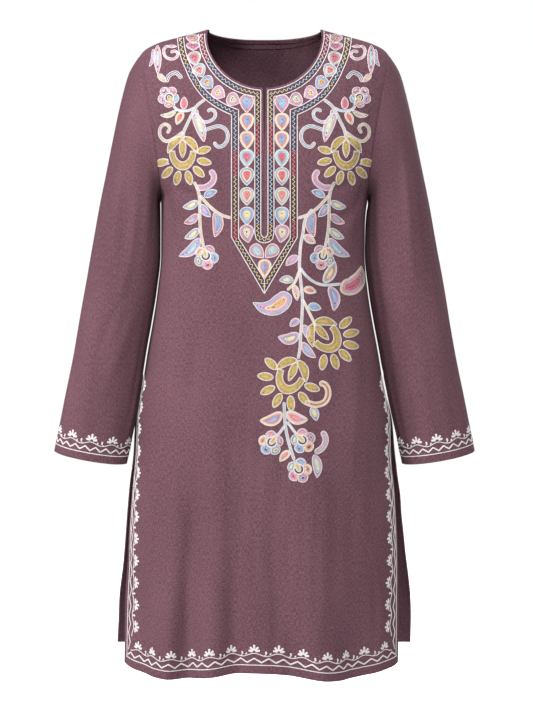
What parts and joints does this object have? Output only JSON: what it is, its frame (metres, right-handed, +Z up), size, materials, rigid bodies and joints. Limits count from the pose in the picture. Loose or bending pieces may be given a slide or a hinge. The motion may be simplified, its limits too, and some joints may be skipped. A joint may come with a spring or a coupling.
{
  "type": "kurta tunic",
  "caption": "Hollow knee-length tunic held up as if worn, with long straight sleeves, a round neck with a front slit, and open side slits.",
  "frame": {"origin": "midway between the wearer's two shoulders, at the height of the shoulder line, where the garment is held up", "axes": "+Z up, -Y out of the front, +X towards the wearer's left"},
  "size_m": [0.649, 0.2568, 0.9947],
  "materials": {
    "cloth": "matt plain-weave plum cloth, embroidered",
    "facing": "matt plain-weave plum cloth, turned inside"
  },
  "bodies": {
    "root": {"front_panel": "cloth", "back_panel": "cloth", "left_sleeve": "cloth", "right_sleeve": "cloth", "back_neck_facing": "facing"}
  },
  "joints": []
}
